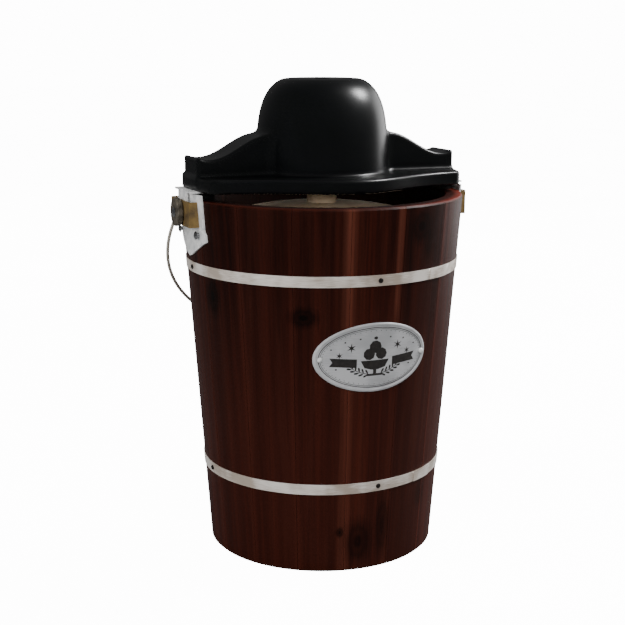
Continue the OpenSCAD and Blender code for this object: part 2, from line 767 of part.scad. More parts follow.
// Bent strips that carry the housing on the ears
module mounting_tabs() {
    color("#c6c8ca") difference() {
        mirrored_x() {
            translate([tier_r - 28, -tab_w / 2, tab_z]) cube([tab_x + tab_t - tier_r + 28, tab_w, tab_t]);
            translate([tab_x, -tongue_w / 2, pocket_top - pocket_h + 2])
                cube([tab_t, tongue_w, tab_z + tab_t - pocket_top + pocket_h - 2]);
        }
        tab_screw_places() cylinder(r = 1.7 + bolt_gap, h = 10, center = true);
        translate([0, 0, pivot_z]) rotate([0, 90, 0]) cylinder(r = rivet_r + 1, h = 400, center = true);
    }
}

module tab_screws() {
    color("#5a5c5e") tab_screw_places() translate([0, 0, -skin]) mirror([0, 0, 1])
        pin(1.7, tab_t + base_t + 0.2, 3.1, 1.4);
}

module support_pads() {
    color("#1c1c1c") mirrored_x() intersection() {
        translate([tier_r - 17, -tab_w / 2 + 1, bucket_h + 0.1])
            cube([14, tab_w - 2, tab_z - skin - bucket_h - 0.1]);
        difference() {
            cylinder(r = tier_r - 2.6, h = 2 * bucket_h);
            tab_screw_places() cylinder(r = 3.5, h = 10, center = true);
        }
    }
}

module gear_plate() {
    color("#a7abad") difference() {
        translate([0, 0, plate_z]) cylinder(r = post_d + 4, h = plate_t);
        translate([centre_d, 0, plate_z - 1]) cylinder(r = 7.2, h = 10);
        translate([0, 0, plate_z - 1]) cylinder(r = 4 + skin, h = 10);
        for (a = [bolt_a, 180 - bolt_a, 180 + bolt_a, -bolt_a]) rotate([0, 0, a]) {
            translate([post_d, 0, plate_z - 1]) cylinder(r = 1.5 + bolt_gap, h = 10);
            translate([bolt_d, 0, plate_z - 1]) cylinder(r = bolt_r + skin, h = 10);
        }
    }
}

module plate_screws() {
    color("#5a5c5e") for (a = [bolt_a, 180 - bolt_a, 180 + bolt_a, -bolt_a]) rotate([0, 0, a])
        translate([post_d, 0, plate_top + skin]) pin(1.5, 9, 2.9, 1.4);
}

// Fixed post whose square socket keeps the dasher from turning
module dasher_socket() {
    color("#8f9294") difference() {
        union() {
            translate([0, 0, post_z]) cylinder(r = post_r, h = plate_z - post_z - skin);
            translate([0, 0, output_top + 0.4]) cylinder(r = 12, h = plate_z - output_top - 0.4 - skin);
            translate([0, 0, plate_z - 1]) cylinder(r = 4, h = plate_t + 1);
        }
        translate([-square_w / 2 - 0.15, -square_w / 2 - 0.15, post_z - 1])
            cube([square_w + 0.3, square_w + 0.3, hub_z + 3.3 + 17.4 - post_z + 1]);
    }
}

module output_bush() {
    color("#b08d4a") difference() {
        union() {
            translate([0, 0, base_z - 1.5]) cylinder(r = bush_r, h = base_t + 2);
            translate([0, 0, base_top + skin]) cylinder(r = bush_r + 3, h = 1.6);
        }
        translate([0, 0, base_z - 5]) cylinder(r = sleeve_r + run_gap, h = 20);
    }
}

module output_gear() {
    color("#d8d4c6") difference() {
        union() {
            translate([0, 0, output_z]) linear_extrude(output_w) teeth(wheel_n);
            translate([0, 0, sleeve_z]) cylinder(r = sleeve_r, h = output_z - sleeve_z + 1);
            for (a = [0:90:270]) rotate([0, 0, a + 45])
                translate([0, -2.3, sleeve_z]) cube([sleeve_r + 1.7, 4.6, hub_top - sleeve_z - 0.6]);
        }
        translate([0, 0, sleeve_z - 1]) cylinder(r = post_r + run_gap, h = 60);
    }
}

module idler_pin() {
    color("#9c9fa1") translate([centre_d, 0, base_z + 1.1])
        cylinder(r = 3, h = bracket_z + bracket_t - base_z - 1.6);
}

module idler_gear() {
    color("#c9b27a") translate([centre_d, 0, 0]) difference() {
        union() {
            translate([0, 0, output_z]) linear_extrude(output_w) teeth(pinion_n, 180 + 180 / pinion_n);
            translate([0, 0, output_top - 1]) cylinder(r = 4.8 * gear_m, h = idler_z - output_top + 2);
            translate([0, 0, idler_z]) linear_extrude(idler_w) teeth(wheel_n, 180 + 180 / wheel_n);
        }
        cylinder(r = 3 + run_gap, h = 2 * bucket_h);
    }
}

module motor_pinion() {
    color("#b9b9b9") difference() {
        translate([0, 0, idler_z - 0.5]) linear_extrude(idler_w + 1) teeth(pinion_n);
        cylinder(r = shaft_r + skin, h = 2 * bucket_h);
    }
}

module bolt_places(d = bolt_d) {
    for (a = [bolt_a, 180 - bolt_a, 180 + bolt_a, -bolt_a])
        rotate([0, 0, a]) translate([d, 0, 0]) children();
}

// End frame of the motor: a hub, four arms and a foot for each bolt
module motor_frame(z) {
    difference() {
        union() {
            translate([0, 0, z]) cylinder(r = 13, h = bracket_t);
            for (a = [bolt_a, 180 - bolt_a, 180 + bolt_a, -bolt_a]) rotate([0, 0, a]) {
                translate([0, -4.5, z]) cube([bolt_d, 9, bracket_t]);
                translate([bolt_d, 0, z]) cylinder(r = 4.5, h = bracket_t);
            }
            children();
        }
        translate([0, 0, z - 1]) cylinder(r = 7 + skin, h = 10);
        bolt_places() translate([0, 0, z - 1]) cylinder(r = bolt_r + bolt_gap, h = 10);
    }
}

module motor_bracket() {
    color("#b4b7b9") difference() {
        motor_frame(bracket_z) translate([0, -6, bracket_z]) cube([centre_d + 6, 12, bracket_t]);
        translate([centre_d, 0, bracket_z - 1]) cylinder(r = 3 + skin, h = 10);
    }
}

module motor_cap() {
    color("#b4b7b9") motor_frame(cap_z);
}

module motor_bushes() {
    color("#b08d4a") for (z = [bracket_z, cap_z]) tube(z - 0.5, z + bracket_t + 1, 7, shaft_r + run_gap);
}

module motor_spacers() {
    color("#c2c4c6") bolt_places() {
        tube(plate_top + skin, bracket_z - skin, 3.4, bolt_r + skin);
        tube(bracket_z + bracket_t + skin, stator_z - skin, 3.4, bolt_r + skin);
        tube(stator_top + skin, cap_z - skin, 3.4, bolt_r + skin);
    }
}

module motor_bolts() {
    color("#5a5c5e") bolt_places() translate([0, 0, cap_z + bracket_t + skin])
        pin(bolt_r, cap_z + bracket_t - plate_z, 3.3, 1.8);
}

pole_w = 15;
pole_in = rotor_r + air_gap;

module stator() {
    color("#6f7275") difference() {
        translate([0, 0, stator_z]) linear_extrude(stator_h) difference() {
            union() {
                difference() {
                    circle(r = stator_r);
                    circle(r = stator_r - 6);
                }
                intersection() {
                    for (a = [0:90:270]) rotate([0, 0, a]) {
                        translate([0, -pole_w / 2]) square([stator_r - 3, pole_w]);
                        translate([0, -pole_w / 2 - 5]) square([pole_in + 3.5, pole_w + 10]);
                    }
                    circle(r = stator_r - 1);
                }
            }
            circle(r = pole_in);
        }
        bolt_places() cylinder(r = bolt_r + skin, h = 2 * bucket_h);
    }
}

// Coil of enamelled wire round each pole
module windings() {
    coil_w = pole_w + 11;
    coil_in = pole_in + 4;
    coil_l = stator_r - 7 - coil_in;
    color("#a5562b") for (a = [0:90:270]) rotate([0, 0, a]) intersection() {
        difference() {
            translate([coil_in, -coil_w / 2, stator_z - 5.5]) cube([coil_l, coil_w, stator_h + 11]);
            translate([coil_in - 1, -pole_w / 2 - 0.2, stator_z - 0.2])
                cube([coil_l + 2, pole_w + 0.4, stator_h + 0.4]);
        }
        tube(stator_z - 10, stator_top + 10, stator_r - 6.3, coil_in - 2);
    }
}

module rotor() {
    color("#8a8d90") difference() {
        translate([0, 0, stator_z - 1]) cylinder(r = rotor_r, h = stator_h + 2);
        cylinder(r = shaft_r + skin, h = 2 * dome_top);
        for (i = [0:15]) rotate([0, 0, 22.5 * i])
            translate([rotor_r - 3.2, 0, 0]) cylinder(r = 1.3, h = 2 * dome_top);
    }
}

module motor_shaft() {
    color("#c8cacc") translate([0, 0, idler_z - 1]) cylinder(r = shaft_r, h = shaft_top - idler_z + 1);
}

module cooling_fan() {
    color("#3d4a55") difference() {
        union() {
            translate([0, 0, fan_z]) cylinder(r = 8, h = 5);
            for (a = [0:45:315]) rotate([0, 0, a]) translate([6, -0.8, fan_z])
                cube([24, 1.6, 5]);
            translate([0, 0, fan_z]) cylinder(r = 30, h = 1);
        }
        cylinder(r = shaft_r + skin, h = 2 * dome_top);
    }
}

bucket_staves();
bucket_floor();
canister_seat();
seat_screws();
upper_band();
lower_band();
band_nails();
badge();
badge_pins();
ear_plate_left();
ear_plate_right();
ear_pocket_left();
ear_pocket_right();
ear_screws();
bail_rivets();
latch_screw();
bail_wire();
bail_eyes();
bail_grip();
latch();
canister();
canister_pivot();
dasher_frame();
dasher_scrapers();
dasher_stem();
canister_lid();
lid_hub();
housing_shell();
housing_base();
housing_screws();
mounting_tabs();
tab_screws();
support_pads();
cord_grommet();
gear_plate();
plate_screws();
dasher_socket();
output_bush();
output_gear();
idler_pin();
idler_gear();
motor_bracket();
motor_cap();
motor_bushes();
motor_spacers();
motor_bolts();
stator();
windings();
rotor();
motor_shaft();
motor_pinion();
cooling_fan();
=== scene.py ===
import json
import math
from functools import partial

import bmesh
import bpy
import numpy as np
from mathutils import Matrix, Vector


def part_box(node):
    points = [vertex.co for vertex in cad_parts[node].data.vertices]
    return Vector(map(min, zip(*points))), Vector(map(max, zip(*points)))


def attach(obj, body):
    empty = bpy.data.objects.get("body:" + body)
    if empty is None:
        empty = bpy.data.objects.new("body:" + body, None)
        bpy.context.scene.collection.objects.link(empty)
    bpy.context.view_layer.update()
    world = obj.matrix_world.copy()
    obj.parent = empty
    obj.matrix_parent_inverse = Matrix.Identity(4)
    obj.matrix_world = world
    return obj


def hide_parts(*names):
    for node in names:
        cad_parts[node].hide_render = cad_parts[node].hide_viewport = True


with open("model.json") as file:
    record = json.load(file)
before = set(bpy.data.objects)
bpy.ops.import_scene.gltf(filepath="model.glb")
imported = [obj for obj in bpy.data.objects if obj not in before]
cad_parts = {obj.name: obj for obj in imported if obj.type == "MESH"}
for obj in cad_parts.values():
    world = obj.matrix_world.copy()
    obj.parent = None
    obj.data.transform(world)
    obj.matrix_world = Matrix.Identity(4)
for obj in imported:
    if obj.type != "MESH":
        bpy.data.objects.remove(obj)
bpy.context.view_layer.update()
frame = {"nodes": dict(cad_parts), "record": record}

# Looks of the electric ice cream maker. Shapes are worked out in millimetres and become metres in the mesh.
nodes = frame["nodes"]
mm = 0.001


def nodeBox(name):
    # Lowest and highest corner of a CAD node, in millimetres
    low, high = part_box(name)
    return np.array(low) / mm, np.array(high) / mm


bucket = dict(height=nodeBox("bucket_staves")[1][2], footRadius=104.0, topRadius=128.0, staves=16)


def bucketRadius(z):
    # Straight taper from the foot to the rim
    return bucket["footRadius"] + (bucket["topRadius"] - bucket["footRadius"]) * z / bucket["height"]


def linear(hexColour):
    # sRGB hex to linear RGBA
    value = [int(hexColour[i:i + 2], 16) / 255 for i in (1, 3, 5)]
    return [v / 12.92 if v <= 0.04045 else ((v + 0.055) / 1.055) ** 2.4 for v in value] + [1.0]


def addNode(tree, kind, inputs=(), output=0, stops=(), **settings):
    # Adds one shader node with its settings, values and links, and gives back one of its outputs
    node = tree.nodes.new("ShaderNode" + kind)
    for name, value in settings.items():
        setattr(node, name, value)
    for key, value in inputs.items() if isinstance(inputs, dict) else enumerate(inputs):
        if isinstance(value, bpy.types.NodeSocket):
            tree.links.new(value, node.inputs[key])
        else:
            node.inputs[key].default_value = linear(value) if isinstance(value, str) else value
    for number, (place, colour) in enumerate(stops):
        band = node.color_ramp.elements
        element = band[number] if number < len(band) else band.new(place)
        element.position, element.color = place, linear(colour)
    return node.outputs[output]


def newMaterial(name, build, **shader):
    # A Principled material: fixed values go on its sockets, and build gives the linked ones
    material = bpy.data.materials.new(name)
    material.use_nodes = True
    tree = material.node_tree
    principled = tree.nodes["Principled BSDF"]
    for key, value in shader.items():
        principled.inputs[key.replace("_", " ")].default_value = value
    for key, socket in build(partial(addNode, tree)).items():
        tree.links.new(socket, principled.inputs[key])
    return material


def millimetres(add, stretch=(1, 1, 1)):
    # Place on the object in millimetres, each axis divided by its stretch
    factor = [1 / (mm * s) for s in stretch]
    return add("VectorMath", [add("TexCoord", output="Object"), factor], operation="MULTIPLY")


# Stained cedar: sRGB shades with their places, and lengths in mm
wood = dict(
    radius=115.0, shift=37.0,  # turns angles into widths; step in the grain from stave to stave
    base=((0.28, "#1c0906"), (0.46, "#2e130d"), (0.62, "#3f1e16"), (0.80, "#563024")),
    staves=((0.0, "#8f8279"), (0.35, "#b8a89c"), (0.7, "#dcc8ba"), (1.0, "#fff0e6")), staveShare=0.9,
    pore="#140603", streak="#532318", knot="#070302",
    edge="#5a281c", edgeFrom=19.2, edgeTo=21.6, edgeShare=0.12,  # beside a seam, from the stave's middle
    thin="#54261c", thinFrom=285.0, thinTo=120.0, thinShare=0.2,  # heights between which the stain thins out
    # glow: colour, strength and fade of the painted highlight streaks on the stave edges
    glow="#6f3c2d", glowShare=0.56, highlightFade=20,
    # rim: painted light on the rim's end grain, from its dark shaded tone to its lit red tone between two x
    # values in mm
    rim=((0.0, "#35130c"), (1.0, "#7d3023")), litRimFrom=10.0, litRimTo=110.0,
    rimFrom=1.2, rimTo=0.2, rimShare=0.7,  # depths below the rim where the end grain starts to show
    # inside: painted shade on the bucket's inner face
    inside="#120806", insideFrom=-9.0, insideTo=-3.0, insideShare=0.9,  # depths from the outer face
)
# Noise along the staves: scale across the grain, stretch along it, detail, roughness, distortion
grainNoise = dict(
    broad=(0.085, 26.0, 3.0, 0.5, 0.5),
    fine=(0.8, 55.0, 6.0, 0.7, 0.0),
    pores=(2.4, 22.0, 2.0, 0.5, 0.0),
    bands=(0.2, 90.0, 2.0, 0.5, 0.0),
)
# Painted highlights: pale streaks where stave edges catch the light, running down from the rim: degrees from
# the badge, half width and lowest height in mm
paintedHighlightStreaks = ((-11.6, 4.0, -30), (9.3, 2.4, 225), (124, 3.0, -30), (-144, 2.6, 90))
# Knots: degrees from the badge, height, half width and half height in mm, darkness
knots = (
    (-29.6, 234, 12, 9, 1.0), (-73, 244, 9, 17, 1.0), (19.8, 308, 13, 15, 0.9), (24.5, 300, 6, 22, 0.7),
    (-4.5, 28, 14, 22, 0.85), (-13.5, 38, 4, 5, 0.95), (8, 40, 8, 30, 0.7), (33, 60, 9, 14, 0.5),
    (58, 180, 8, 11, 0.8), (104, 120, 9, 12, 0.9), (147, 250, 8, 10, 0.9), (-118, 160, 9, 13, 0.9),
    (-160, 70, 8, 10, 0.8), (172, 190, 6, 8, 0.7),
)


def cedarGrain(add):
    # Each stave has its own shade and its own run of grain: noise over the arc length from the stave's
    # middle, stretched along the height. Angles are measured from the badge.
    place = add("SeparateXYZ", [millimetres(add)]).node
    x, y, height = place.outputs
    angle = add("Math", [x, add("Math", [y, -1.0], operation="MULTIPLY")], operation="ARCTAN2")
    step = 2 * math.pi / bucket["staves"]
    stave = add("Math", [add("Math", [angle, 1 / step, 0.5], operation="MULTIPLY_ADD")], operation="FLOOR")
    centred = add("Math", [stave, -step, angle], operation="MULTIPLY_ADD")
    across = add("Math", [centred, wood["radius"]], operation="MULTIPLY")
    own = add("Math", [stave, wood["shift"]], operation="MULTIPLY")
    shifted = add("Math", [across, own], operation="ADD")
    shade = add("TexWhiteNoise", {"W": stave}, noise_dimensions="1D")
    patterns = []
    for scale, stretch, detail, rough, twist in grainNoise.values():
        along = add("Math", [height, stretch], operation="DIVIDE")
        run = add("CombineXYZ", [shifted, along, own])
        patterns.append(add("TexNoise", {"Vector": run, "Scale": scale, "Detail": detail,
                                         "Roughness": rough, "Distortion": twist}))
    broad, fine, pores, bands = patterns
    colour = add("ValToRGB", [broad], stops=wood["base"])
    # Growth rings are a sine of the broad pattern, a few millimetres apart
    phase = add("Math", [broad, 60.0], operation="MULTIPLY")
    phase = add("Math", [fine, 6.0, phase], operation="MULTIPLY_ADD")
    rings = add("Math", [phase], operation="SINE")
    # Each pattern darkens or reddens the wood between a low and a high value, up to an amount
    layers = ((rings, -0.2, 1.0, 0.25, "pore"), (fine, 0.44, 0.70, 0.28, "streak"),
              (bands, 0.5, 0.72, 0.5, "streak"), (pores, 0.58, 0.72, 0.3, "pore"))
    for pattern, low, high, amount, tone in layers:
        share = add("MapRange", [pattern, low, high, 0.0, amount])
        colour = add("Mix", {0: share, 6: colour, 7: wood[tone]}, 2, data_type="RGBA")
    tint = add("ValToRGB", [shade], stops=wood["staves"])
    colour = add("Mix", {0: wood["staveShare"], 6: colour, 7: tint}, 2, data_type="RGBA",
                 blend_type="MULTIPLY")
    aside = add("Math", [across], operation="ABSOLUTE")
    edge = add("MapRange", [aside, wood["edgeFrom"], wood["edgeTo"], 0.0, wood["edgeShare"]])
    colour = add("Mix", {0: edge, 6: colour, 7: wood["edge"]}, 2, data_type="RGBA")
    # The stain is thinner and redder towards the foot
    thin = add("MapRange", [height, wood["thinFrom"], wood["thinTo"], 0.0, wood["thinShare"]])
    colour = add("Mix", {0: thin, 6: colour, 7: wood["thin"]}, 2, data_type="RGBA")
    # A painted highlight streak fades over its half width and near its lowest height, and the bands break it
    # up
    streakHighlight = 0.0
    for degrees, half, lowest in paintedHighlightStreaks:
        gap = add("Math", [angle, -math.radians(degrees)], operation="ADD")
        gap = add("Math", [gap], operation="ABSOLUTE")
        gap = add("Math", [gap, wood["radius"] / half], operation="MULTIPLY")
        share = add("MapRange", [gap, 0.1, 1.6, wood["glowShare"], 0.0])
        above = add("MapRange", [height, lowest - wood["highlightFade"], lowest + wood["highlightFade"]])
        streakHighlight = add("Math", [streakHighlight, add("Math", [share, above], operation="MULTIPLY")], operation="MAXIMUM")
    streakHighlight = add("Math", [streakHighlight, add("MapRange", [bands, 0.4, 0.6, 0.35, 1.0])], operation="MULTIPLY")
    colour = add("Mix", {0: streakHighlight, 6: colour, 7: wood["glow"]}, 2, data_type="RGBA")
    # A knot is the squared distance from its middle, in units of its half width and half height, made ragged
    # by the grain and ringed like the years of a branch
    dark = 0.0
    for degrees, level, wide, tall, darkness in knots:
        side = add("Math", [angle, -math.radians(degrees)], operation="ADD")
        side = add("Math", [side, wood["radius"] / wide], operation="MULTIPLY")
        side = add("Math", [side, side], operation="MULTIPLY")
        rise = add("Math", [height, 1 / tall, -level / tall], operation="MULTIPLY_ADD")
        square = add("Math", [rise, rise, side], operation="MULTIPLY_ADD")
        rough = add("Math", [fine, 2.4, -0.35], operation="MULTIPLY_ADD")
        ragged = add("Math", [square, rough], operation="MULTIPLY")
        year = add("Math", [add("Math", [ragged, 0.5], operation="POWER"), 13.0], operation="MULTIPLY")
        year = add("MapRange", [add("Math", [year], operation="SINE"), -1.0, 1.0, 0.72, 1.0])
        share = add("MapRange", [ragged, 0.05, 1.3, darkness, 0.0])
        share = add("Math", [share, year], operation="MULTIPLY")
        dark = add("Math", [dark, share], operation="MAXIMUM")
    colour = add("Mix", {0: dark, 6: colour, 7: wood["knot"]}, 2, data_type="RGBA")
    # The end grain on the rim gets painted light: lit redder towards +X, where the light falls on it, and
    # darker towards -X
    litRimTone = add("ValToRGB", [add("MapRange", [x, wood["litRimFrom"], wood["litRimTo"]])], stops=wood["rim"])
    rim = add("MapRange", [height, bucket["height"] - wood["rimFrom"], bucket["height"] - wood["rimTo"],
                           0.0, wood["rimShare"]])
    colour = add("Mix", {0: rim, 6: colour, 7: litRimTone}, 2, data_type="RGBA")
    # Painted shade: the inner face is darker, as shade falls inside the bucket. The depth is the distance
    # from the axis less the outer radius
    taper = (bucket["topRadius"] - bucket["footRadius"]) / bucket["height"]
    flat = add("VectorMath", [add("CombineXYZ", [x, y])], 1, operation="LENGTH")
    beyond = add("Math", [flat, bucket["footRadius"]], operation="SUBTRACT")
    depth = add("Math", [height, -taper, beyond], operation="MULTIPLY_ADD")
    insideShade = add("MapRange", [depth, wood["insideFrom"], wood["insideTo"], wood["insideShare"], 0.0])
    colour = add("Mix", {0: insideShade, 6: colour, 7: wood["inside"]}, 2, data_type="RGBA")
    relief = add("Math", [pores, 0.6, fine], operation="MULTIPLY_ADD")
    return {"Base Color": colour, "Roughness": add("MapRange", [fine, 0.3, 0.8, 0.40, 0.56]),
            "Normal": add("Bump", {"Height": relief, "Strength": 0.4, "Distance": 0.3 * mm})}


def pineGrain(add):
    # Noise about 3 mm wide, stretched 16 times along Y, which is the way the board is sawn
    streak = add("TexNoise", {"Vector": millimetres(add, (1, 16, 1)), "Scale": 0.35, "Detail": 5.0,
                              "Distortion": 0.4})
    shades = ((0.3, "#8a6240"), (0.5, "#b48a5c"), (0.7, "#c9a273"))
    return {"Base Color": add("ValToRGB", [streak], stops=shades),
            "Normal": add("Bump", {"Height": streak, "Strength": 0.3, "Distance": 0.3 * mm})}


def rolledStrip(light, dark, rough):
    # Fine scratches that run round the bucket, over large light and dark clouds: faint clouding of the zinc
    # and painted reflections
    def build(add):
        lines = add("TexNoise", {"Vector": millimetres(add, (12, 12, 0.45)), "Scale": 1.1, "Detail": 4.0,
                                 "Roughness": 0.7})
        # large clouds: faint zinc clouding mixed with painted reflections
        cloud = add("TexNoise", {"Vector": millimetres(add), "Scale": 0.035, "Detail": 2.0})
        mixed = add("Mix", {0: 0.6, 2: lines, 3: cloud}, data_type="FLOAT")
        return {"Base Color": add("ValToRGB", [mixed], stops=[(0.42, dark), (0.57, light)]),
                "Roughness": add("MapRange", [mixed, 0.3, 0.7, rough - 0.08, rough + 0.1]),
                "Normal": add("Bump", {"Height": lines, "Strength": 0.12, "Distance": 0.08 * mm})}
    return build


def zincSpangle(add):
    # Hot-dip galvanising: pale crystals a few millimetres across, each with its own gloss
    cells = add("TexVoronoi", {"Vector": millimetres(add), "Scale": 0.26}, 1)
    tone = add("SeparateColor", [cells])
    cloud = add("TexNoise", {"Vector": millimetres(add), "Scale": 0.12, "Detail": 4.0, "Roughness": 0.6})
    mixed = add("Mix", {0: 0.6, 2: tone, 3: cloud}, data_type="FLOAT")
    shades = ((0.25, "#d0d2d2"), (0.5, "#e8e8e7"), (0.75, "#f8f7f4"))
    return {"Base Color": add("ValToRGB", [mixed], stops=shades),
            "Roughness": add("MapRange", [tone, 0.0, 1.0, 0.36, 0.54]),
            "Normal": add("Bump", {"Height": mixed, "Strength": 0.1, "Distance": 0.1 * mm})}


def cloudy(light, dark, rough, size=4.0, grain=0.8, depth=0.06):
    # Tarnish or flow marks of a given size in mm, which turn the colour and the gloss, over a fine grain of
    # a given depth in mm. Plain metals and mouldings use it.
    def build(add):
        place = millimetres(add)
        cloud = add("TexNoise", {"Vector": place, "Scale": 1 / size, "Detail": 5.0, "Roughness": 0.6})
        marks = add("TexNoise", {"Vector": place, "Scale": grain, "Detail": 3.0, "Roughness": 0.6})
        return {"Base Color": add("ValToRGB", [cloud], stops=[(0.3, dark), (0.7, light)]),
                "Roughness": add("MapRange", [cloud, 0.25, 0.75, rough + 0.07, max(0.05, rough - 0.06)]),
                "Normal": add("Bump", {"Height": marks, "Strength": 0.15, "Distance": depth * mm})}
    return build


def stripes(light, dark, pitch):
    # Level ridges of a given pitch in mm, for stacked sheets and wound wire
    def build(add):
        height = add("SeparateXYZ", [millimetres(add)], 2)
        wave = add("Math", [height, 2 * math.pi / pitch], operation="MULTIPLY")
        wave = add("Math", [wave], operation="SINE")
        share = add("MapRange", [wave, -1.0, 1.0, 0.0, 1.0])
        return {"Base Color": add("ValToRGB", [share], stops=[(0.15, dark), (0.7, light)]),
                "Normal": add("Bump", {"Height": wave, "Strength": 0.4, "Distance": 0.15 * mm})}
    return build


materials = dict(
    # Western red cedar, stained red-brown under satin varnish: dark streaks, few knots, low gloss
    stained_wood=newMaterial("stainedCedar", cedarGrain, Specular_IOR_Level=0.1, Coat_Weight=0.02,
                             Coat_Roughness=0.25),
    # Bare planed pine
    floor_wood=newMaterial("planedPine", pineGrain, Roughness=0.75),
    # Cold-rolled strip with bright zinc: light, with painted reflections that break up its shine
    band_steel=newMaterial("zincedStrip", rolledStrip("#f2ebe3", "#b9ab9d", 0.36), Metallic=0.3),
    # Clear-anodised aluminium sheet, finely brushed
    badge_metal=newMaterial("anodisedSheet", rolledStrip("#d2d2d4", "#b8b9bb", 0.40), Metallic=0.4),
    galvanised_steel=newMaterial("galvanisedSheet", zincSpangle, Metallic=0.2),
    # Yellow-passivated zinc gone dull: brown and olive clouds
    bronzed_steel=newMaterial("passivatedSteel", cloudy("#8f7546", "#4c4031", 0.42, 11.0), Metallic=0.3),
    # Drawn wire, oiled and handled
    wire_steel=newMaterial("drawnWire", cloudy("#d6d0c4", "#aaa294", 0.38), Metallic=0.1),
    grip_plastic=newMaterial("gripPolypropylene", cloudy("#1b1817", "#131110", 0.42, 30.0)),
    # Spun and washed aluminium, slightly clouded
    canister_metal=newMaterial("spunAluminium", cloudy("#cfd1d3", "#a7a9ab", 0.32, 18.0), Metallic=1.0),
    white_plastic=newMaterial("whitePolypropylene", cloudy("#ece8de", "#dcd6c9", 0.38, 40.0),
                              Subsurface_Weight=0.08),
    # Smoked translucent polypropylene with a greyish bloom
    lid_plastic=newMaterial("smokedPolypropylene", cloudy("#d9c2a4", "#b79f82", 0.36, 25.0),
                            Subsurface_Weight=0.05),
    # Black ABS with a fine spark-eroded grain: satin with one soft highlight
    housing_plastic=newMaterial("blackAbs", cloudy("#07080a", "#040505", 0.33, 45.0, 0.7, 0.02),
                                Specular_IOR_Level=0.38),
    base_plastic=newMaterial("mattBlackAbs", cloudy("#151617", "#0e0f10", 0.50, 40.0, 0.6, 0.04)),
    steel=newMaterial("turnedSteel", cloudy("#c2c4c6", "#8d8f92", 0.30), Metallic=1.0),
    dark_steel=newMaterial("blackenedSteel", cloudy("#3f3b38", "#242220", 0.42), Metallic=0.8),
    pad_rubber=newMaterial("softRubber", cloudy("#1b1b1b", "#111111", 0.75, 12.0, 0.5, 0.08)),
    bush_bronze=newMaterial("sinteredBronze", cloudy("#b8904e", "#80602f", 0.45, 1.2), Metallic=1.0),
    gear_nylon=newMaterial("acetalGear", cloudy("#d9d1b4", "#c8bd9c", 0.36, 20.0), Subsurface_Weight=0.05),
    # Motor laminations, drawn 1 mm thick so that they show
    core_steel=newMaterial("stackedCore", stripes("#7d8083", "#3b3d40", 1.0), Metallic=0.8, Roughness=0.5),
    # Copper wire under red-brown enamel, drawn 0.9 mm thick so that it shows
    winding_copper=newMaterial("enamelledWire", stripes("#b5602f", "#5a2410", 0.9), Metallic=0.6,
                               Roughness=0.35),
)
# The eyes are the same strip, coloured almost black with lighter patches
darkEyeSteel = newMaterial("darkEyeSteel", cloudy("#6e675a", "#28231d", 0.4, 5.0), Metallic=0.3)
# Screen-printed black ink, matt
ink = newMaterial("screenInk", cloudy("#2c2927", "#1d1b1a", 0.55, 2.5))

slotOf = {part["node"]: part["material_slot"] for part in frame["record"]["subparts"]}
for name, part in nodes.items():
    part.data.materials.clear()
    part.data.materials.append(materials[slotOf[name]])
nodes["bail_eyes"].data.materials[0] = darkEyeSteel
print("materials set on", len(nodes), "CAD nodes")


weld = dict(distance=1e-6, shortest=1e-7)  # m; points closer than the first become one


def makePiece(name, points, faces, body, slot, replaced=(), material=None, sharp=40):
    # Puts points (mm) and faces into a mesh object, closes its poles and seams, turns its faces outwards,
    # and rides it on a body. Edges sharper than the given degrees stay sharp.
    mesh = bpy.data.meshes.new(name)
    mesh.from_pydata((np.asarray(points).reshape(-1, 3) * mm).tolist(), [], np.asarray(faces).tolist())
    work = bmesh.new()
    work.from_mesh(mesh)
    bmesh.ops.remove_doubles(work, verts=work.verts, dist=weld["distance"])
    bmesh.ops.dissolve_degenerate(work, edges=work.edges, dist=weld["shortest"])
    bmesh.ops.recalc_face_normals(work, faces=work.faces)
    work.to_mesh(mesh)
    work.free()
    mesh.polygons.foreach_set("use_smooth", np.ones(len(mesh.polygons), bool))
    mesh.set_sharp_from_angle(angle=math.radians(sharp))
    piece = bpy.data.objects.new(name, mesh)
    bpy.context.scene.collection.objects.link(piece)
    mesh.materials.append(material or materials[slot])
    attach(piece, body)
    if replaced:
        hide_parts(*replaced)
    return piece


def gridFaces(rows, columns, closeRows=False, closeColumns=False, first=0):
    # Quads of a grid whose points are stored row by row
    r = np.arange(rows if closeRows else rows - 1)[:, None]
    c = np.arange(columns if closeColumns else columns - 1)[None, :]
    r2, c2 = (r + 1) % rows, (c + 1) % columns
    quads = [r * columns + c, r * columns + c2, r2 * columns + c2, r2 * columns + c]
    return first + np.stack(quads, -1).reshape(-1, 4)


def joinGrids(grids):
    # Several (points, closeRows, closeColumns) grids as one list of points and faces
    points, faces, first = [], [], 0
    for grid, closeRows, closeColumns in grids:
        rows, columns = grid.shape[:2]
        faces.append(gridFaces(rows, columns, closeRows, closeColumns, first))
        points.append(grid.reshape(-1, 3))
        first += rows * columns
    return np.concatenate(points), np.concatenate(faces)


# How a field's mesh is smoothed: rounds, share of the way to the neighbours' mean, Newton steps in a round,
# the width of the slope's probe in mm, and the least squared slope that a step trusts
netting = dict(rounds=5, ease=0.6, newtonSteps=2, probe=0.02, leastSlope=0.2)


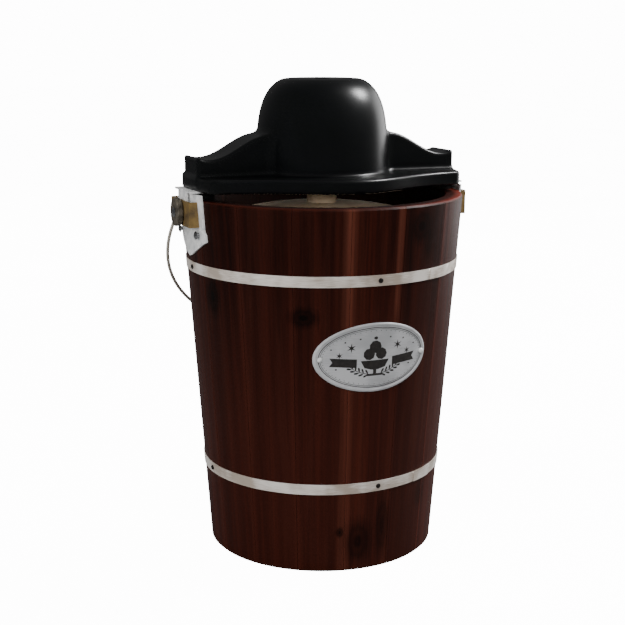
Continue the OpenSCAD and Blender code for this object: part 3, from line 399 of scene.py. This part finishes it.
def meshOfField(field, low, high, step):
    # Surface nets: a vertex in each cell that the zero level crosses, eased along the surface and moved
    # onto the level by Newton steps, and a quad for each grid edge that the level crosses
    axes = [np.arange(low[i], high[i] + step, step) for i in range(3)]
    inside = field(*np.meshgrid(*axes, indexing="ij", sparse=True)) < 0
    shape = tuple(n - 1 for n in inside.shape)
    count = np.zeros(shape, np.int8)
    for i, j, k in np.ndindex(2, 2, 2):
        count += inside[i:i + shape[0], j:j + shape[1], k:k + shape[2]]
    cells = np.argwhere((count > 0) & (count < 8))
    index = np.full(shape, -1, np.int64)
    index[tuple(cells.T)] = np.arange(len(cells))
    quads = []
    for axis in range(3):
        u, v = [a for a in range(3) if a != axis]
        size = inside.shape[axis]
        here, there = inside.take(range(size - 1), axis), inside.take(range(1, size), axis)
        edges = np.argwhere(here != there)
        a, b = edges[:, u], edges[:, v]
        edges = edges[(a > 0) & (b > 0) & (a < shape[u]) & (b < shape[v])]
        unitU, unitV = np.eye(3, dtype=int)[u], np.eye(3, dtype=int)[v]
        ring = [index[tuple((edges - a * unitU - b * unitV).T)] for a, b in ((0, 0), (1, 0), (1, 1), (0, 1))]
        quad = np.stack(ring, -1)
        flip = here[tuple(edges.T)] == (axis != 1)
        quad[flip] = quad[flip][:, ::-1]
        quads.append(quad)
    quads = np.concatenate(quads)
    points = np.array(low) + (cells + 0.5) * step
    links = np.concatenate([quads[:, [i, (i + 1) % 4]] for i in range(4)])
    degree = np.bincount(links[:, 0], minlength=len(points))[:, None]
    for smoothing in range(netting["rounds"]):
        far = points[links[:, 1]]
        sums = np.stack([np.bincount(links[:, 0], far[:, i], len(points)) for i in range(3)], -1)
        points = points + netting["ease"] * (sums / degree - points)
        for newton in range(netting["newtonSteps"]):
            value = field(*points.T)
            probes = np.eye(3) * netting["probe"]
            slope = np.stack([(field(*(points + d).T) - value) / netting["probe"] for d in probes], -1)
            square = np.maximum((slope ** 2).sum(-1, keepdims=True), netting["leastSlope"])
            move = value[:, None] * slope / square
            points = points - np.clip(move, -step, step)
    return points, quads


def softMin(a, b, k):
    # Smooth union: a fillet of about radius k where a and b meet
    h = np.clip(0.5 + 0.5 * (b - a) / k, 0, 1)
    return b + (a - b) * h - k * h * (1 - h)


def roundCorner(distances, radius):
    # Intersection of half spaces with a rounded edge: the length of the positive parts of the distances,
    # each grown by the radius, plus the negative part of the largest, less the radius
    out = [np.maximum(d + radius, 0) for d in distances]
    inner = np.minimum(np.maximum.reduce(np.broadcast_arrays(*distances)) + radius, 0)
    return np.sqrt(sum(o * o for o in out)) + inner - radius


shellLow, shellHigh = nodeBox("housing_shell")
housing = dict(
    rim=bucket["height"], bottom=shellLow[2], wall=2.5,
    tierTop=shellLow[2] + 12, tierRadius=126.3, endWidth=44.0, bulge=43.0, fade=69.6,
    tierCorner=5.0, tierEdge=2.6, wingHalf=20.5, wingLength=124.0, wingEdge=3.2,
    wingMiddle=44, wingSwing=10, slopeFrom=58, slopeRun=54, lipFrom=112, lipRun=12, lipRise=3,
    domeRadius=59.5, domeTop=shellHigh[2], domeFrom=20, domeReach=shellHigh[2] - bucket["height"] - 17,
    domeSide=3.8, domeCrown=3.4, domeEdge=2.0,  # the two powers of the dome's rounded profile
    overlap=6, fillet=6.0, ledgeFillet=4.0,
    dishRadius=18, dishHalf=12, dishDepth=1.0, dishEdge=0.5,
    step=1.35, margin=2.7, marginBelow=2.9,  # of the grid that the shell is meshed on
)


def wingHeight(x):
    # Top of a wing above the rim: a half cosine from the dome down to a low seat, then a slight lip
    h = housing
    slope = np.cos(np.pi * np.clip((x - h["slopeFrom"]) / h["slopeRun"], 0, 1))
    lip = (np.maximum(x - h["lipFrom"], 0) / h["lipRun"]) ** 2
    return h["wingMiddle"] + h["wingSwing"] * slope + h["lipRise"] * lip


def tierField(x, y, z, openBelow):
    # Lower tier: its half width is a bell curve of x added to the ends' width, and a circle cuts its ends
    h = housing
    swell = h["bulge"] * np.exp(-(x / h["fade"]) ** 2)
    tilt = 2 * np.abs(x) / h["fade"] ** 2 * swell
    side = (np.abs(y) - h["endWidth"] - swell) / np.sqrt(1 + tilt ** 2)
    outline = roundCorner([side, np.hypot(x, y) - h["tierRadius"]], h["tierCorner"])
    tier = roundCorner([outline, z - h["tierTop"]], h["tierEdge"])
    return tier if openBelow else np.maximum(tier, h["bottom"] - z)


def wingField(x, y, z):
    # Both wings: the height under the wing's curve, divided by how steep the curve is, then sides and ends
    h = housing
    ax, along = np.abs(x), np.clip((np.abs(x) - h["slopeFrom"]) / h["slopeRun"], 0, 1)
    drop = np.sin(np.pi * along) * h["wingSwing"] * np.pi / h["slopeRun"]
    top = (z - h["rim"] - wingHeight(ax)) / np.sqrt(1 + drop ** 2)
    return roundCorner([top, np.abs(y) - h["wingHalf"], ax - h["wingLength"]], h["wingEdge"])


def domeField(x, y, z):
    # Dome: radius and height, each in units of its reach and raised to a power, add up to one on the surface
    h = housing
    r, t = np.hypot(x, y) / h["domeRadius"], np.maximum(z - h["rim"] - h["domeFrom"], 0) / h["domeReach"]
    level = r ** h["domeSide"] + t ** h["domeCrown"] - 1
    steep = np.hypot(h["domeSide"] * r ** (h["domeSide"] - 1) / h["domeRadius"],
                     h["domeCrown"] * t ** (h["domeCrown"] - 1) / h["domeReach"])
    return roundCorner([level / np.maximum(steep, 0.02), z - h["domeTop"]], h["domeEdge"])


def housingField(x, y, z, openBelow=False):
    # Signed distance, about, to the outside of the housing: dome, wings and tier, blended in that order
    h = housing
    below = h["tierTop"] - h["overlap"] - z
    dome, wings = np.maximum(domeField(x, y, z), below), np.maximum(wingField(x, y, z), below)
    return softMin(softMin(dome, wings, h["fillet"]), tierField(x, y, z, openBelow), h["ledgeFillet"])


def shellField(x, y, z):
    # The housing's wall, open below, with the shallow dish and the small boss on its top
    h = housing
    ring = np.abs(np.hypot(x, y) - h["dishRadius"]) - h["dishHalf"]
    dish = roundCorner([ring, h["domeTop"] - h["dishDepth"] - z], h["dishEdge"])
    outside = np.maximum(housingField(x, y, z), -dish)
    return np.maximum(outside, -(housingField(x, y, z, True) + h["wall"]))


def makeHousing():
    # Zero level of the shell's field, with its lowest and highest points brought to the CAD node's levels
    h = housing
    reach = np.array([h["tierRadius"], h["endWidth"] + h["bulge"]]) + h["margin"]
    low, high = [*-reach, h["bottom"] - h["marginBelow"]], [*reach, h["domeTop"] + h["margin"]]
    points, faces = meshOfField(shellField, low, high, h["step"])
    points[:, 2] = np.clip(points[:, 2], h["bottom"], h["domeTop"])
    makePiece("motorHousing", points, faces, "drive_unit", "housing_plastic", ["housing_shell"], sharp=60)
    print("housing", len(points), "points")


makeHousing()


plate = dict(width=105.0, height=61.0, z=198.0, lift=0.1, thick=1.0, bead=0.6, beadFrom=0.6, beadTo=2.6,
             flatFrom=4.0, backInset=0.25, ink=0.16, inkRoot=0.05, columns=240, backRings=12, faceRings=14)


def onBadge(x, z, lift):
    # Point of the badge's face: straight ahead of (x, z), on the bucket's cone grown by a lift
    return np.stack([x, -np.sqrt((bucketRadius(z) + lift) ** 2 - x * x), z + 0 * x], -1)


def makeBadge():
    # Polar grid of ellipses, from the middle of the back round the edge and the bead to the middle of the
    # face. Each ring has an inset from the outline, a scale towards the middle and a height over the staves.
    p = plate
    low, high = p["lift"], p["lift"] + p["thick"]
    top, middle = high + p["bead"], (p["beadFrom"] + p["beadTo"]) / 2
    edge = [(0.0, low + 0.2), (0.0, high - 0.25), (0.1, high - 0.08), (0.3, high),
            (p["beadFrom"], high + 0.05), (p["beadFrom"] + 0.2, top - 0.15), (middle - 0.4, top - 0.02),
            (middle, top), (middle + 0.4, top - 0.02), (p["beadTo"] - 0.2, top - 0.15),
            (p["beadTo"], high + 0.05), (p["beadTo"] + 0.3, high)]
    rings = [(p["backInset"], scale, low) for scale in np.linspace(0, 1, p["backRings"])]
    rings += [(inset, 1, lift) for inset, lift in edge]
    rings += [(p["flatFrom"], scale, high) for scale in np.linspace(1, 0, p["faceRings"])]
    inset, scale, lift = np.array(rings).T[:, :, None]
    turn = np.linspace(0, 2 * np.pi, p["columns"], endpoint=False)[None]
    x = (p["width"] / 2 - inset) * scale * np.cos(turn)
    z = (p["height"] / 2 - inset) * scale * np.sin(turn)
    points, faces = joinGrids([(onBadge(x, p["z"] + z, lift), False, True)])
    makePiece("ovalPlate", points, faces, "bucket", "badge_metal", ["badge"])


def inkLift(*printed):
    # Height over the staves of each line of a print: on the face where it shows, else just under the face
    return plate["lift"] + plate["thick"] + np.where(printed, plate["ink"], -plate["inkRoot"])[:, None]


def polarShape(x, z, outline, turned=0.0):
    # Closed flat print: a turned outline in rings, from (x, z) to its edge and back under
    c, s = np.cos(turned), np.sin(turned)
    u, v = outline[:, 0] * c - outline[:, 1] * s, outline[:, 0] * s + outline[:, 1] * c
    share = np.array([0.0, 0.5, 1.0, 1.0, 0.0])[:, None]
    return onBadge(x + share * u, plate["z"] + z + share * v, inkLift(1, 1, 1, 0, 0)), False, True


def ringLine(halfWide, halfTall, width, start=0.0, end=360.0, x=0.0, z=0.0, count=160):
    # Printed line along an ellipse, or along a part of one: four lines, two on the face and two under it
    whole = end - start >= 360
    turn = np.radians(np.linspace(start, end, count + 1)[:-1] if whole else np.linspace(start, end, count))
    cut = np.array([0.0, width, width, 0.0])[:, None]
    wide, tall = (halfWide - cut) * np.cos(turn), (halfTall - cut) * np.sin(turn)
    grid = onBadge(x + wide, plate["z"] + z + tall, inkLift(1, 1, 0, 0))
    if not whole:
        ends = grid.mean(0, keepdims=True)
        grid = np.concatenate([ends[:, :1].repeat(4, 0), grid, ends[:, -1:].repeat(4, 0)], 1)
    return grid, True, whole


def petal(length, width, count=24):
    # Outline of a leaf: an ellipse whose width shrinks to about half towards its root at -x
    turn = np.linspace(0, 2 * np.pi, count, endpoint=False)
    fullness = 0.55 + 0.45 * np.cos(turn / 2) ** 2
    return np.stack([length / 2 * np.cos(turn), width / 2 * np.sin(turn) * fullness], -1)


def starOutline(points, outer, inner):
    # Outline of a star: its reach alternates between outer and inner, and its first point is upwards
    turn = np.linspace(0, 2 * np.pi, 2 * points, endpoint=False) + np.pi / 2
    reach = np.where(np.arange(2 * points) % 2 == 0, outer, inner)
    return np.stack([reach * np.cos(turn), reach * np.sin(turn)], -1)


def corners(*pairs):
    # Straight-sided outline with a few points along each side
    pairs = np.array(pairs, float)
    after = np.roll(pairs, -1, 0)
    share = np.arange(6)[None, :, None] / 6
    return (pairs[:, None] + (after - pairs)[:, None] * share).reshape(-1, 2)


# Plain ornament, in mm from the middle of the badge
ornament = dict(
    ovals=((48.6, 26.6, 0.55), (47.2, 25.2, 0.28)),  # half width, half height and width of each line
    scoops=((-5.6, 3.2, 5.0), (5.6, 3.2, 5.0), (0.0, 9.4, 5.4)), ruffles=9, ruffle=0.035,
    cherry=(17.2, 3.4),  # height and size
    bowl=(-5.6, ((-13, 3.2), (13, 3.2), (9.5, -3.2), (3, -5.0), (-3, -5.0), (-9.5, -3.2))),
    stem=(-12.2, ((-1.4, 2.2), (1.4, 2.2), (1.4, -2.2), (-1.4, -2.2))),
    foot=(-15.2, ((-7, 0.9), (7, 0.9), (8, -0.9), (-8, -0.9))),
    ribbonAt=(26.5, -4.2),
    ribbon=((-10, 3.6), (10, 5.0), (13, 5.2), (10.6, 1.4), (13, -2.2), (10, -2.4), (-10, -3.8)),
    stars=((21.5, 9.5, 4.2, 1.2), (31.5, 3.0, 3.0, 0.9)),  # place, outer and inner reach
    sprig=(27.0, 17.5, 0.5), sprigMiddle=2.5, sprigTurns={-1: (-150, -102), 1: (-78, -30)},
    leaves=6, leafFirst=17, leafStep=9, leafAt=(26.8, 17.3), leafOut=1.9, leafLean=0.75, leaf=(4.4, 1.9),
    dots=((37.5, 0.0, 1.0), (14.0, 17.0, 0.8), (27.0, 14.6, 0.8), (38.5, 8.5, 0.7), (34.0, -9.0, 0.8)),
    beads=(45.6, 23.6, 0.7), beadStep=6,
)


def sprigLeaves(side):
    # Pairs of leaves beside the sprig's ellipse, each pair leaning away from it and towards its tip
    o, shapes = ornament, []
    for step in range(o["leaves"]):
        turn = math.radians(-90 + side * (o["leafFirst"] + o["leafStep"] * step))
        for out, lean in ((o["leafOut"], o["leafLean"]), (-o["leafOut"], -o["leafLean"])):
            x = (o["leafAt"][0] + out) * math.cos(turn)
            z = o["sprigMiddle"] + (o["leafAt"][1] + out) * math.sin(turn)
            shapes.append(polarShape(x, z, petal(*o["leaf"]), turn + side * (math.pi / 2 - lean)))
    return shapes


def makeBadgeInk():
    # Double oval, a bowl of three scoops on a foot between two blank ribbons, snow stars, sprigs and dots
    o = ornament
    shapes = [ringLine(*oval) for oval in o["ovals"]]
    for x, z, r in o["scoops"]:
        turn = np.radians(np.arange(0, 360, 10))
        wavy = r * (1 + o["ruffle"] * np.cos(o["ruffles"] * turn))
        shapes.append(polarShape(x, z, np.stack([wavy * np.cos(turn), wavy * np.sin(turn)], -1)))
    height, size = o["cherry"]
    shapes.append(polarShape(0, height, petal(size, size)))
    shapes += [polarShape(0, o[name][0], corners(*o[name][1])) for name in ("bowl", "stem", "foot")]
    for side in (-1, 1):
        x, z = o["ribbonAt"]
        shapes.append(polarShape(side * x, z, corners(*o["ribbon"]) * (side, 1)))
        shapes += [polarShape(side * x, z, starOutline(6, *reach)) for x, z, *reach in o["stars"]]
        shapes.append(ringLine(*o["sprig"], *o["sprigTurns"][side], 0, o["sprigMiddle"], 40))
        shapes += sprigLeaves(side)
        shapes += [polarShape(side * x, z, petal(2 * r, 2 * r)) for x, z, r in o["dots"]]
    wide, tall, size = o["beads"]
    for turn in np.radians(range(0, 360, o["beadStep"])):
        shapes.append(polarShape(wide * math.cos(turn), tall * math.sin(turn), petal(size, size, 8)))
    points, faces = joinGrids(shapes)
    makePiece("badgePrint", points, faces, "bucket", "badge_metal", material=ink, sharp=30)
    print("badge and its print made")


makeBadge()
makeBadgeInk()


stage = dict(backdrop=14.0, floorGlow=24.0, glowShare=0.6, ambient=0.12, bounce="#6a6a6a",
             reach=12.0, drop=0.0003)  # m; the floor lies just under the foot
# Distance from the axis and height in mm, angles in degrees, lens and sensor in mm
camera = dict(distance=1166.5, height=462.0, side=22.6, pitch=12.04, yaw=0.42, roll=-0.11,
              lens=73.8, sensor=36.0)


def addCamera():
    # The eye stands on a circle round the object's axis, a side angle from the badge towards -X, and looks
    # back at the axis, pitched down, with a small yaw and roll
    side = math.radians(camera["side"])
    lens = bpy.data.cameras.new("camera")
    lens.lens, lens.sensor_width = camera["lens"], camera["sensor"]
    eye = bpy.data.objects.new("camera", lens)
    eye.location = (-camera["distance"] * math.sin(side) * mm, -camera["distance"] * math.cos(side) * mm,
                    camera["height"] * mm)
    eye.rotation_euler = (math.radians(90 - camera["pitch"]), math.radians(camera["roll"]),
                          math.radians(camera["yaw"]) - side)
    bpy.context.scene.collection.objects.link(eye)
    bpy.context.scene.camera = eye


def addLight(name, azimuth, elevation, distance, size, power, mirrored=True, aim=(0, 0, 0.24), only=()):
    # Square soft box at a distance from its aim; azimuth 0 is in front of the badge and runs towards +X.
    # A box that isn't mirrored leaves no reflection in the gloss, and one may light only a few pieces.
    a, e = math.radians(azimuth), math.radians(elevation)
    box = bpy.data.lights.new(name, "AREA")
    box.shape, box.size, box.energy = "SQUARE", size, power
    lamp = bpy.data.objects.new(name, box)
    towards = Vector((math.sin(a) * math.cos(e), -math.cos(a) * math.cos(e), math.sin(e)))
    lamp.location = Vector(aim) + towards * distance
    lamp.visible_glossy = mirrored
    if only:
        lamp.light_linking.receiver_collection = bpy.data.collections.new(name + "Target")
        for piece in only:
            lamp.light_linking.receiver_collection.objects.link(piece)
    lamp.rotation_euler = (Vector(aim) - lamp.location).to_track_quat("-Z", "Y").to_euler()
    bpy.context.scene.collection.objects.link(lamp)


def addStage():
    # White studio with a glowing paper floor, as they are seen directly. The object itself is lit by a
    # dimmer room over grey paper, so that its dark finishes stay dark.
    world = bpy.data.worlds.new("studio")
    bpy.context.scene.world = world
    world.use_nodes = True
    tree = world.node_tree
    seen = addNode(tree, "LightPath")
    shown = addNode(tree, "Background", {"Color": (1, 1, 1, 1), "Strength": stage["backdrop"]})
    lit = addNode(tree, "Background", {"Color": (1, 1, 1, 1), "Strength": stage["ambient"]})
    mixed = addNode(tree, "MixShader", [seen, lit, shown])
    tree.links.new(mixed, tree.nodes["World Output"].inputs["Surface"])
    paper = bpy.data.materials.new("paperSweep")
    paper.use_nodes = True
    tree = paper.node_tree
    seen = addNode(tree, "LightPath")
    fibres = addNode(tree, "TexNoise", {"Vector": addNode(tree, "TexCoord", output="Object"), "Scale": 3.0})
    tone = addNode(tree, "ValToRGB", [fibres], stops=[(0.2, "#f7f7f7"), (0.8, "#fdfdfd")])
    glow = addNode(tree, "Emission", {"Color": tone, "Strength": stage["floorGlow"]})
    matt = addNode(tree, "BsdfDiffuse", {"Color": tone})
    shown = addNode(tree, "MixShader", [stage["glowShare"], matt, glow])
    lit = addNode(tree, "BsdfDiffuse", {"Color": stage["bounce"]})
    mixed = addNode(tree, "MixShader", [seen, lit, shown])
    tree.links.new(mixed, tree.nodes["Material Output"].inputs["Surface"])
    mesh = bpy.data.meshes.new("sweep")
    reach, square = stage["reach"], ((-1, -1), (1, -1), (1, 1), (-1, 1))
    mesh.from_pydata([(x * reach, y * reach, -stage["drop"]) for x, y in square], [], [(0, 1, 2, 3)])
    mesh.materials.append(paper)
    sweep = bpy.data.objects.new("sweep", mesh)
    bpy.context.scene.collection.objects.link(sweep)


# Degrees, metres and watts. The last box lights only the lid, which lies in the housing's shadow.
lights = dict(
    key=dict(azimuth=82, elevation=44, distance=1.6, size=0.34, power=30),
    side=dict(azimuth=112, elevation=8, distance=1.6, size=1.0, power=10),
    fill=dict(azimuth=-84, elevation=18, distance=2.2, size=1.8, power=40, mirrored=False),
    front=dict(azimuth=-8, elevation=32, distance=2.6, size=2.4, power=60, mirrored=False),
    back=dict(azimuth=165, elevation=30, distance=2.2, size=1.8, power=40, mirrored=False),
    lidGlow=dict(azimuth=-14, elevation=15, distance=1.2, size=0.3, power=11, mirrored=False,
                 aim=(0, -0.04, 0.315), only=(nodes["canister_lid"], nodes["lid_hub"])),
)
addCamera()
addStage()
for name, settings in lights.items():
    addLight(name, **settings)
print("stage and", len(lights), "lights set")
